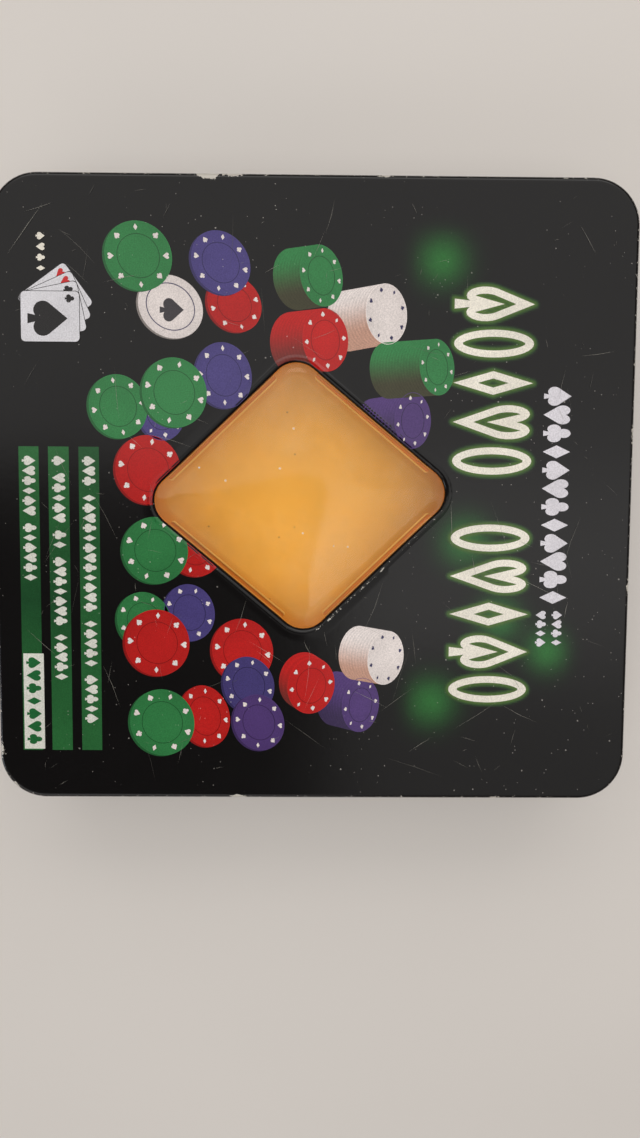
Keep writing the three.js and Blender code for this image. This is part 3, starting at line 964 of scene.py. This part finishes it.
def print_face(b, x, y, a, c, tilt, spin, ink, layer, light=1.0):
    """Face of a chip: rim, thin ring and eight suit pips."""
    base = tinted(INKS[ink], light)
    print_disc(b, x, y, a, c, tilt, layer, tinted(base, 1.02), tinted(base, 0.94))
    ring = NAVY if ink == "white" else tinted(base, 0.42)
    if ink != "white":
        print_ring(b, x, y, a * 0.64, c * 0.64, tilt, 0.22, layer + 1, ring)
    print_ring(b, x, y, a, c, tilt, 0.14, layer + 1, tinted(base, 1.2))
    pips = NAVY if ink == "white" else INKS["white"]
    for k in range(FACE_PIPS):
        t = spin + k * math.pi / 4
        place = turned(Vector((0.82 * a * math.cos(t), 0.82 * c * math.sin(t))), tilt, Vector((x, y)))
        size = 0.18 * (a + c) / 2
        for part, shape in enumerate(suit_shapes(SUIT_ORDER[k % 4], 0, 0, size, size * 1.1, t - math.pi / 2)):
            squashed = [turned(Vector((p.x, p.y * c / a)), tilt, place) for p in shape]
            print_outline(b, squashed, layer + 1 + 0.3 * part, pips)


def print_chip(b, x, y, a, c, tilt, spin, ink, layer, light):
    """A chip lying on the print, with its edge showing on one side."""
    tilt, spin = math.radians(tilt), math.radians(spin)
    inner, outer = tinted(INKS[ink], 0.5), tinted(INKS[ink], 0.55 * light)
    print_disc(b, x + CHIP_LEAN[0], y + CHIP_LEAN[1], a, c, tilt, layer, inner, outer)
    print_face(b, x, y, a, c, tilt, spin, ink, layer + 1, light)


def print_stack(b, face, far, a, c, tilt, spin, ink, layer, chips):
    """A leaning stack: the near face, and rings in two tones from it to the far end, a pair to a chip."""
    tilt, spin = math.radians(tilt), math.radians(spin)
    z = PANEL_TOP + LAYER * layer
    lit = tinted(INKS[ink], 1.05)
    starts = []
    for step in range(2 * chips + 1):
        t = step / (2 * chips)
        centre = Vector(face) + (Vector(far) - Vector(face)) * t
        starts.append(len(b.points))
        for p in ellipse(*centre, a, c, tilt):
            shade = smooth_step(-0.7, 0.6, (p - centre).x / a)
            color = tinted(blended(lit, STACK_SHADOWS[ink], shade), 0.86 if step % 2 else 1.06)
            b.add_points([(p.x, p.y, z - LAYER * 0.9 * t)], color)
    for first, second in zip(starts, starts[1:]):
        for k in range(ELLIPSE_SIDES):
            n = (k + 1) % ELLIPSE_SIDES
            quad = (first + k, first + n, second + n, second + k)
            p = [Vector(b.points[i]) for i in quad]
            if (p[1] - p[0]).cross(p[3] - p[0]).z < 0:
                b.face(*quad[::-1])
    print_face(b, *face, a, c, tilt, spin, ink, layer + 1)


# Chips on the print: x, y, long and short half-axes, tilt, spin, ink, layer, light
PRINTED_CHIPS = [
    (-74.2, -55.9, 11.2, 10.2, 40, 8, "green", 4, 1.0),
    (-59.6, -25.7, 9.3, 8.0, 40, 20, "red", 1, 0.9),
    (-72.3, -30.0, 10.5, 8.7, 35, 0, "blue", 4, 1.0),
    (-37.3, -29.1, 10.5, 8.8, 15, 30, "blue", 1, 0.95),
    (-25.6, -49.0, 9.0, 7.4, 10, 0, "blue", 1, 0.95),
    (-31.8, -44.8, 11.1, 10.2, 20, 12, "green", 7, 1.02),
    (-27.3, -62.7, 10.2, 9.2, 20, 35, "green", 4, 1.0),
    (-7.3, -53.3, 11.1, 10.4, 20, 15, "red", 1, 0.9),
    (16.8, -38.6, 10.2, 9.0, 20, 12, "red", 1, 0.9),
    (18.5, -51.2, 10.8, 10.5, 20, 5, "green", 4, 0.85),
    (38.6, -40.3, 9.3, 8.1, 15, 10, "blue", 1, 0.9),
    (41.3, -55.0, 9.4, 8.6, 20, 0, "green", 1, 0.85),
    (48.5, -50.8, 10.9, 10.4, 20, 22, "red", 4, 0.9),
    (51.0, -23.1, 10.6, 9.8, 20, 18, "red", 1, 0.95),
    (62.2, -21.1, 9.4, 8.2, 20, 12, "blue", 4, 0.8),
    (74.6, -17.8, 9.4, 8.2, 20, 20, "purple", 7, 0.9),
    (72.6, -35.4, 10.3, 8.0, 15, 25, "red", 1, 0.92),
    (74.7, -49.3, 11.0, 10.4, 20, 6, "green", 4, 0.9),
]

# Stacks on the print: near face, far end, half-axes, tilt, spin, ink, layer, number of chips
PRINTED_STACKS = [
    ((-23.5, 31.2), (-21.5, 18.5), 8.9, 5.8, 0, 10, "purple", 1, 14),
    ((-40.4, 38.7), (-39.2, 22.8), 8.9, 5.5, 6, 30, "green", 3, 17),
    ((-56.9, 22.4), (-54.6, 10.0), 9.5, 6.5, 6, 10, "white", 1, 12),
    ((-68.6, 1.7), (-67.4, -6.8), 9.7, 6.6, 12, 25, "green", 3, 9),
    ((-48.6, 3.1), (-47.4, -7.2), 9.9, 7.2, 6, 0, "red", 5, 10),
    ((68.7, 15.4), (66.6, 7.0), 9.0, 6.0, -6, 15, "purple", 1, 9),
    ((53.1, 23.4), (51.5, 14.0), 8.9, 5.8, -8, 25, "white", 3, 10),
    ((62.4, -0.8), (60.6, -3.6), 9.3, 7.6, -12, 20, "red", 5, 2),
]

TITLE_BAND = (-66.5, 69.5, 44.0, 69.5)
TITLE_SHAPES = [
    "spade", "oval", "diamond", "heart", "oval", None, "oval", "heart", "diamond", "spade", "oval",
]
SUBTITLE_BAND = (-34.5, 36.0, 72.6, 82.4)
SUBTITLE_COUNT = 12
GLOW_BAND = (-90, 92, 24, 90)
GLOW_CELL = 0.65
GLOW_GREEN = linear(38, 112, 46)
GLOW_YELLOW = linear(92, 118, 44)
SOFT_GLOWS = [(-73.6, 40.0, 9), (67.3, 38.5, 9), (50.5, 76.0, 8), (15.0, 49.0, 9), (40.0, 60.0, 8)]


def title_shapes():
    """Ten tall outlines in two groups of five, in place of a title."""
    left, right, low, high = TITLE_BAND
    cell = (right - left) / len(TITLE_SHAPES)
    middle = (low + high) / 2
    return [
        (shape, left + cell * (k + 0.5), middle, cell * 0.84, high - low)
        for k, shape in enumerate(TITLE_SHAPES)
        if shape
    ]


def subtitle_shapes():
    """A row of suits in place of a subtitle, and two short rows in place of the small words after it."""
    left, right, low, high = SUBTITLE_BAND
    cell = (right - left) / SUBTITLE_COUNT
    middle, height = (low + high) / 2, (high - low) * 0.9
    row = [
        (SUIT_ORDER[k % 4], left + cell * (k + 0.5), middle, cell * 0.98, height)
        for k in range(SUBTITLE_COUNT)
    ]
    small = [
        (SUIT_ORDER[(k + line) % 4], 38.8 + 3.0 * k, y, 2.6, 3.4)
        for line, y in enumerate((79.0, 73.8))
        for k in range(4)
    ]
    return row + small


def line_distance(p, q, r):
    """How far a point lies from the line between q and r."""
    span = r - q
    t = max(0.0, min(1.0, (p - q).dot(span) / max(span.length_squared, 1e-9)))
    return (q + span * t - p).length


# A corner's inner point is at most the distance over this away, and a point that ends up nearer to the
# outline than this share of the distance belongs to a loop
SHARPEST_BEND = 0.2
LOOP_LIMIT = 0.96


def inset_outline(outline, distance):
    """An anticlockwise outline moved inwards, without the loops that tight bends would make."""
    made = []
    for k, p in enumerate(outline):
        before = (p - outline[k - 1]).normalized()
        after = (outline[(k + 1) % len(outline)] - p).normalized()
        normal = Vector((-before.y - after.y, before.x + after.x)).normalized()
        reach = max(normal.dot(Vector((-before.y, before.x))), SHARPEST_BEND)
        made.append(p + normal * distance / reach)
    lines = closed_lines(outline)
    return [p for p in made if min(line_distance(p, q, r) for q, r in lines) > LOOP_LIMIT * distance]


TITLE_STROKE = 2.2


def hollow_outlines(suit, x, y, width, height):
    """The outer and inner outlines of a suit drawn as a line, and its solid stem if it has one."""
    body, *extra = suit_shapes(suit, x, y, width, height, 0)
    return body, inset_outline(body, TITLE_STROKE), extra


def glow_lines():
    """Every line segment of the title, with the box it lies in."""
    made = []
    for suit, x, y, w, h in title_shapes():
        body, inner, stem = hollow_outlines(suit, x, y, w, h)
        lines = [pair for outline in (body, inner, *stem) for pair in closed_lines(outline)]
        made.append((x, w / 2 + 2, y, h / 2 + 2, lines))
    return made


def nearest_line(p, groups):
    best = 9.0
    for x, reach_x, y, reach_y, lines in groups:
        if abs(p.x - x) > reach_x or abs(p.y - y) > reach_y:
            continue
        for q, r in lines:
            best = min(best, line_distance(p, q, r))
    return best


def glow_color(p, groups):
    """Green close to the title's lines and in soft patches, fading to the lid's black."""
    left, right, low, high = GLOW_BAND
    halo = 0.8 * (1 - smooth_step(0.1, 1.7, nearest_line(p, groups)))
    patch = sum(0.8 * math.exp(-1.6 * ((p - Vector((x, y))).length / r) ** 2) for x, y, r in SOFT_GLOWS)
    edge = min(p.x - left, right - p.x, p.y - low, high - p.y) / 8
    share = max(min(max(halo, patch), 1.0) * min(edge, 1.0), 0.0)
    return blended(BLACK, blended(GLOW_GREEN, GLOW_YELLOW, halo), share)


def make_glow():
    """A fine grid over the title that carries its glow."""
    b = Builder()
    left, right, low, high = GLOW_BAND
    groups = glow_lines()
    columns, rows = int((right - left) / GLOW_CELL), int((high - low) / GLOW_CELL)
    for j in range(rows + 1):
        for i in range(columns + 1):
            p = Vector((left + i * GLOW_CELL, low + j * GLOW_CELL))
            b.add_points([(p.x, p.y, PANEL_TOP + LAYER * 0.5)], glow_color(p, groups))
    for j in range(rows):
        for i in range(columns):
            a = j * (columns + 1) + i
            b.face(a, a + 1, a + columns + 2, a + columns + 1)
    return b


def print_suit(b, suit, x, y, width, height, angle, layer, color):
    for k, outline in enumerate(suit_shapes(suit, x, y, width, height, angle)):
        print_outline(b, outline, layer + 0.5 * k, color)


def print_titles(b):
    for suit, x, y, w, h in title_shapes():
        body, inner, stem = hollow_outlines(suit, x, y, w, h)
        b.flat([body, inner], PANEL_TOP + LAYER * 2, color=WHITE)
        for outline in stem:
            print_outline(b, outline, 3, WHITE)
    for suit, x, y, w, h in subtitle_shapes():
        print_suit(b, suit, x, y, w, h, 0, 2, SUBTITLE_WHITE)


def print_dealer_disc(b):
    """The white disc under the first green chip, with a ring and one large spade on it."""
    x, y, tilt = -58.6, -45.9, math.radians(52)
    white = INKS["white"]
    print_disc(b, x + 0.3, y - 0.6, 10.8, 9.3, tilt, 1, linear(120, 112, 108), linear(130, 122, 118))
    print_disc(b, x, y, 10.8, 9.3, tilt, 2, white, tinted(white, 0.93))
    print_ring(b, x, y, 8.2, 7.0, tilt, 0.3, 3, NAVY)
    print_suit(b, "spade", x + 1.0, y + 0.4, 7.0, 7.6, 0, 3, linear(60, 56, 60))


# Green bars: low edge, high edge, and the number of small marks in each group along them
BARS = [(-75.5, -69.0, (3, 12, 5, 5)), (-85.2, -78.6, (1, 5, 2, 7, 5)), (-94.6, -88.2, (6, 6))]
BAR_SPAN = (-14.5, 84.0)
BAR_STEPS = 12
BAR_DARK = linear(24, 68, 36)
BAR_BRIGHT = linear(38, 98, 50)
MARK_PITCH = 3.2
MARK_WHITE = linear(210, 210, 200)


def print_bar(b, low, high):
    """One green bar. The lower two are darker in their middle, and the upper one grows brighter along it."""
    left, right = BAR_SPAN
    previous = None
    for k in range(BAR_STEPS + 1):
        t = k / BAR_STEPS
        share = abs(2 * t - 1) ** 0.8 if low < -80 else 0.35 + 0.5 * t
        x, z = left + (right - left) * t, PANEL_TOP + LAYER
        pair = b.add_points([(x, low, z), (x, high, z)], blended(BAR_DARK, BAR_BRIGHT, share))
        if previous is not None:
            b.face(previous, pair, pair + 1, previous + 1)
        previous = pair


def print_bars(b):
    """Three green bars with small suits where the label had words, and a white box with green suits."""
    for low, high, groups in BARS:
        print_bar(b, low, high)
        x = BAR_SPAN[0] + 4.5
        number = 0
        for count in groups:
            for _ in range(count):
                print_suit(b, SUIT_ORDER[number % 4], x, (low + high) / 2, 2.9, 4.3, 0, 2, MARK_WHITE)
                x += MARK_PITCH
                number += 1
            x += MARK_PITCH * 0.7
    box = [Vector(p) for p in ((52.2, -94.2), (83.6, -94.2), (83.6, -87.6), (52.2, -87.6))]
    print_outline(b, box, 3, MARK_WHITE)
    for k in range(7):
        print_suit(b, SUIT_ORDER[k % 4], 55.2 + 4.2 * k, -90.9, 3.4, 4.8, 0, 4, linear(30, 96, 50))


SCRATCHES = 190
# Scratches stay inside this half width and half height
SCRATCH_REACH = (96, 98)


def print_scratches(b):
    """Fine straight scratches and a few longer scuffs, at random over the lid."""
    rng = random.Random(11)
    far_x, far_y = SCRATCH_REACH
    for _ in range(SCRATCHES):
        start = Vector((rng.uniform(-far_x, far_x), rng.uniform(-far_y, far_y)))
        angle = rng.choice((0.3, 1.1, 2.0, 2.8)) + rng.uniform(-0.3, 0.3)
        along = Vector((math.cos(angle), math.sin(angle)))
        across = Vector((-along.y, along.x)) * rng.uniform(0.02, 0.05)
        length = rng.choice((2, 3, 5, 9, 16)) * rng.uniform(0.7, 1.3)
        bend = across.normalized() * rng.uniform(-0.03, 0.03) * length
        line = [start, start + along * length / 2 + bend, start + along * length]
        if abs(line[2].x) > far_x or abs(line[2].y) > far_y:
            continue
        color = tinted(WHITE, rng.uniform(0.12, 0.45))
        points = [line[0], line[1] + across, line[2], line[1] - across]
        print_outline(b, points, 15, color)


def print_cards(b):
    """A fan of four cards with one large spade."""
    half_w, half_h = 7.8, 9.2
    pivot = Vector((-60.2, -91.0))
    middle = Vector((5.0, half_h - 2.0))
    black, red = linear(30, 28, 28), linear(196, 40, 40)
    fan = [(36, "heart", red), (24, "heart", red), (12, "club", black), (0, "club", black)]
    for k, (lean, suit, ink) in enumerate(fan):
        turn = math.radians(lean)
        layer = 1 + 3 * k
        for grow, paper in ((0.18, linear(26, 24, 24)), (0, linear(214, 212, 216))):
            shape = rounded_box(half_w + grow, half_h + grow, 1.3, 5)
            print_outline(b, [turned(p + middle, turn, pivot) for p in shape], layer, paper)
            layer += 1
        corner = turned(middle + Vector((2.2 - half_w, half_h - 3.0)), turn, pivot)
        print_suit(b, suit, corner.x, corner.y, 2.6, 3.0, turn, layer, ink)
    print_suit(b, "spade", pivot.x + middle.x + 0.6, pivot.y + middle.y - 0.8, 10.5, 12.6, 0, 13, black)
    for k in range(4):
        print_suit(b, SUIT_ORDER[k], -80.0 + 3.3 * k, -86.5, 2.2, 2.8, 0, 13, WHITE)


def cut(polygon, a, b):
    """The right part and the left part of a polygon of (x, y, z, colour) points, cut from a to b."""
    right, left = [], []
    for k, (x, y, z, color) in enumerate(polygon):
        far_x, far_y, far_z, far_color = polygon[(k + 1) % len(polygon)]
        side = (b.x - a.x) * (y - a.y) - (b.y - a.y) * (x - a.x)
        far_side = (b.x - a.x) * (far_y - a.y) - (b.y - a.y) * (far_x - a.x)
        (left if side >= 0 else right).append((x, y, z, color))
        if (side >= 0) != (far_side >= 0):
            t = side / (side - far_side)
            place = (x + (far_x - x) * t, y + (far_y - y) * t, z + (far_z - z) * t)
            crossing = (*place, blended(color, far_color, t))
            left.append(crossing)
            right.append(crossing)
    return right, left


def around_window(polygon, rings):
    """The parts of a convex polygon outside the last ring, cut also along the rings before it."""
    parts = []
    for ring in rings:
        for a, b in closed_lines(ring):
            outside, polygon = cut(polygon, a, b)
            if len(outside) > 2:
                parts.append(outside)
            if len(polygon) < 3:
                return parts
    return parts


def bead_rise(offset):
    for (far, high, _), (near, low, _) in zip(BEAD, BEAD[1:]):
        if offset >= near:
            return low + (high - low) * min((offset - near) / (far - near), 1.0)
    return BEAD[-1][1]


def clear_of_window(points):
    """True when all the points lie beyond the bead and beside the same side of the window."""
    sides = set()
    for x, y, _ in points:
        local = turned(Vector((x, y)) - WINDOW_CENTRE, -WINDOW_TURN)
        sides.add((local.x > 0, local.y > 0))
        if abs(local.x) / (WINDOW_HALF[0] + 4) + abs(local.y) / (WINDOW_HALF[1] + 4.5) < 1:
            return False
    return len(sides) == 1


def draped(b):
    """The print with the window cut out of it, following the bead down to the rolled rim."""
    made = Builder()
    rings = [window_ring(offset, steps=8) for offset in (2.4, 1.4, 0.6)]
    moved = {}
    for indices in b.faces:
        points = [b.points[i] for i in indices]
        if clear_of_window(points):
            for i in indices:
                if i not in moved:
                    moved[i] = made.add_points([b.points[i]], b.colors[i])
            made.face(*(moved[i] for i in indices))
            continue
        for part in around_window([(*b.points[i], b.colors[i]) for i in indices], rings):
            start = len(made.points)
            for x, y, z, color in part:
                made.add_points([(x, y, z + bead_rise(window_offset(x, y)))], color)
            made.face(*range(start, len(made.points)))
    return made


def make_print():
    pictures = Builder()
    print_dealer_disc(pictures)
    for chip in PRINTED_CHIPS:
        print_chip(pictures, *chip)
    for stack in PRINTED_STACKS:
        print_stack(pictures, *stack)
    print_titles(pictures)
    print_bars(pictures)
    print_cards(pictures)
    print_scratches(pictures)
    for name, b in (("lid_print", pictures), ("lid_glow", make_glow())):
        piece = draped(b).build(name, [LID_INK], weld=False)
        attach(piece, "lid")


# ---- Floor, light and camera ----


def make_floor():
    s = Shader("floor")
    material = s.finish(s.toned(linear(219, 213, 207), s.varied(0.97, 1.02, 3)), 0.45)
    mesh = bpy.data.meshes.new("floor")
    half = 3.0
    corners = [(-half, -half, 0), (half, -half, 0), (half, half, 0), (-half, half, 0)]
    mesh.from_pydata(corners, [], [(0, 1, 2, 3)])
    mesh.materials.append(material)
    floor = linked_object("floor", mesh)


def area_light(name, place, target, size, power, color=(1, 1, 1)):
    data = bpy.data.lights.new(name, "AREA")
    data.shape = "RECTANGLE"
    data.size, data.size_y = size
    data.energy = power
    data.color = color
    light = linked_object(name, data)
    light.location = place
    light.rotation_euler = (Vector(target) - Vector(place)).to_track_quat("-Z", "Y").to_euler()
    return light


CEILING = 1.0
# Soft boxes overhead, in metres: from x, to x, from y, to y, and radiance. The gap between them makes the
# lid's dark quadrant.
CEILING_CARDS = [
    ("left", -1.2, -0.05, -1.2, 1.2, 0.78),
    ("back", -0.05, 0.22, 0.027, 1.2, 1.14),
    ("corner", 0.22, 1.2, 0.027, 1.2, 0.5),
]


def make_lights():
    world = bpy.data.worlds.new("studio")
    world.use_nodes = True
    background = world.node_tree.nodes["Background"].inputs
    background["Color"].default_value = (1.0, 0.98, 0.95, 1)
    background["Strength"].default_value = 0.06
    bpy.context.scene.world = world
    for name, left, right, low, high, radiance in CEILING_CARDS:
        x, y = (left + right) / 2, (low + high) / 2
        size = (right - left, high - low)
        power = math.pi * radiance * size[0] * size[1]
        area_light("ceiling_" + name, (x, y, CEILING), (x, y, 0), size, power, (1.0, 0.98, 0.96))
    area_light("key", (-1.3, 0, 1.15), (-0.05, 0, 0), (1.8, 0.8), 6, (1.0, 0.97, 0.94))
    area_light("fill_front", (1.35, -0.6, 0.9), (0, 0, 0), (1.4, 1.0), 4.5, (1.0, 0.97, 0.95))
    bounce = area_light("ceiling_bounce", (0.1, 0, 1.1), (0.1, 0, 0), (0.8, 0.8), 4.2, (1.0, 0.98, 0.96))
    bounce.visible_glossy = False
    x, y = WINDOW_CENTRE * MM
    window = area_light("window_light", (x, y, 0.0425), (x, y, 0), (0.092, 0.092), 0.0115)
    window.rotation_euler.z = math.radians(45) + WINDOW_TURN
    window.visible_camera = False
    area_light("edge_light", (0.5, -1.2, 0.35), (0.08, -0.1, 0.03), (0.4, 0.4), 1.5, (0.8, 0.9, 1.0))


def make_camera():
    data = bpy.data.cameras.new("camera")
    data.sensor_fit = "VERTICAL"
    data.sensor_height = 36
    data.lens = 27.05
    camera = linked_object("camera", data)
    camera.location = (0.0047, -0.0010, 0.3213)
    camera.rotation_euler = Euler(tuple(math.radians(a) for a in (-4.05, -0.57, 90.37)))
    bpy.context.scene.camera = camera
    bpy.context.scene.view_settings.view_transform = "Standard"


make_camera()
make_lights()
make_floor()
make_lid()
make_tabs()
make_pane()
make_wall()
make_bottom()
make_tray()
for color_name, row_angle in ROW_ANGLES.items():
    for block_number in range(BLOCKS_IN_ROW):
        make_chip_block(color_name, row_angle, block_number)
make_print()
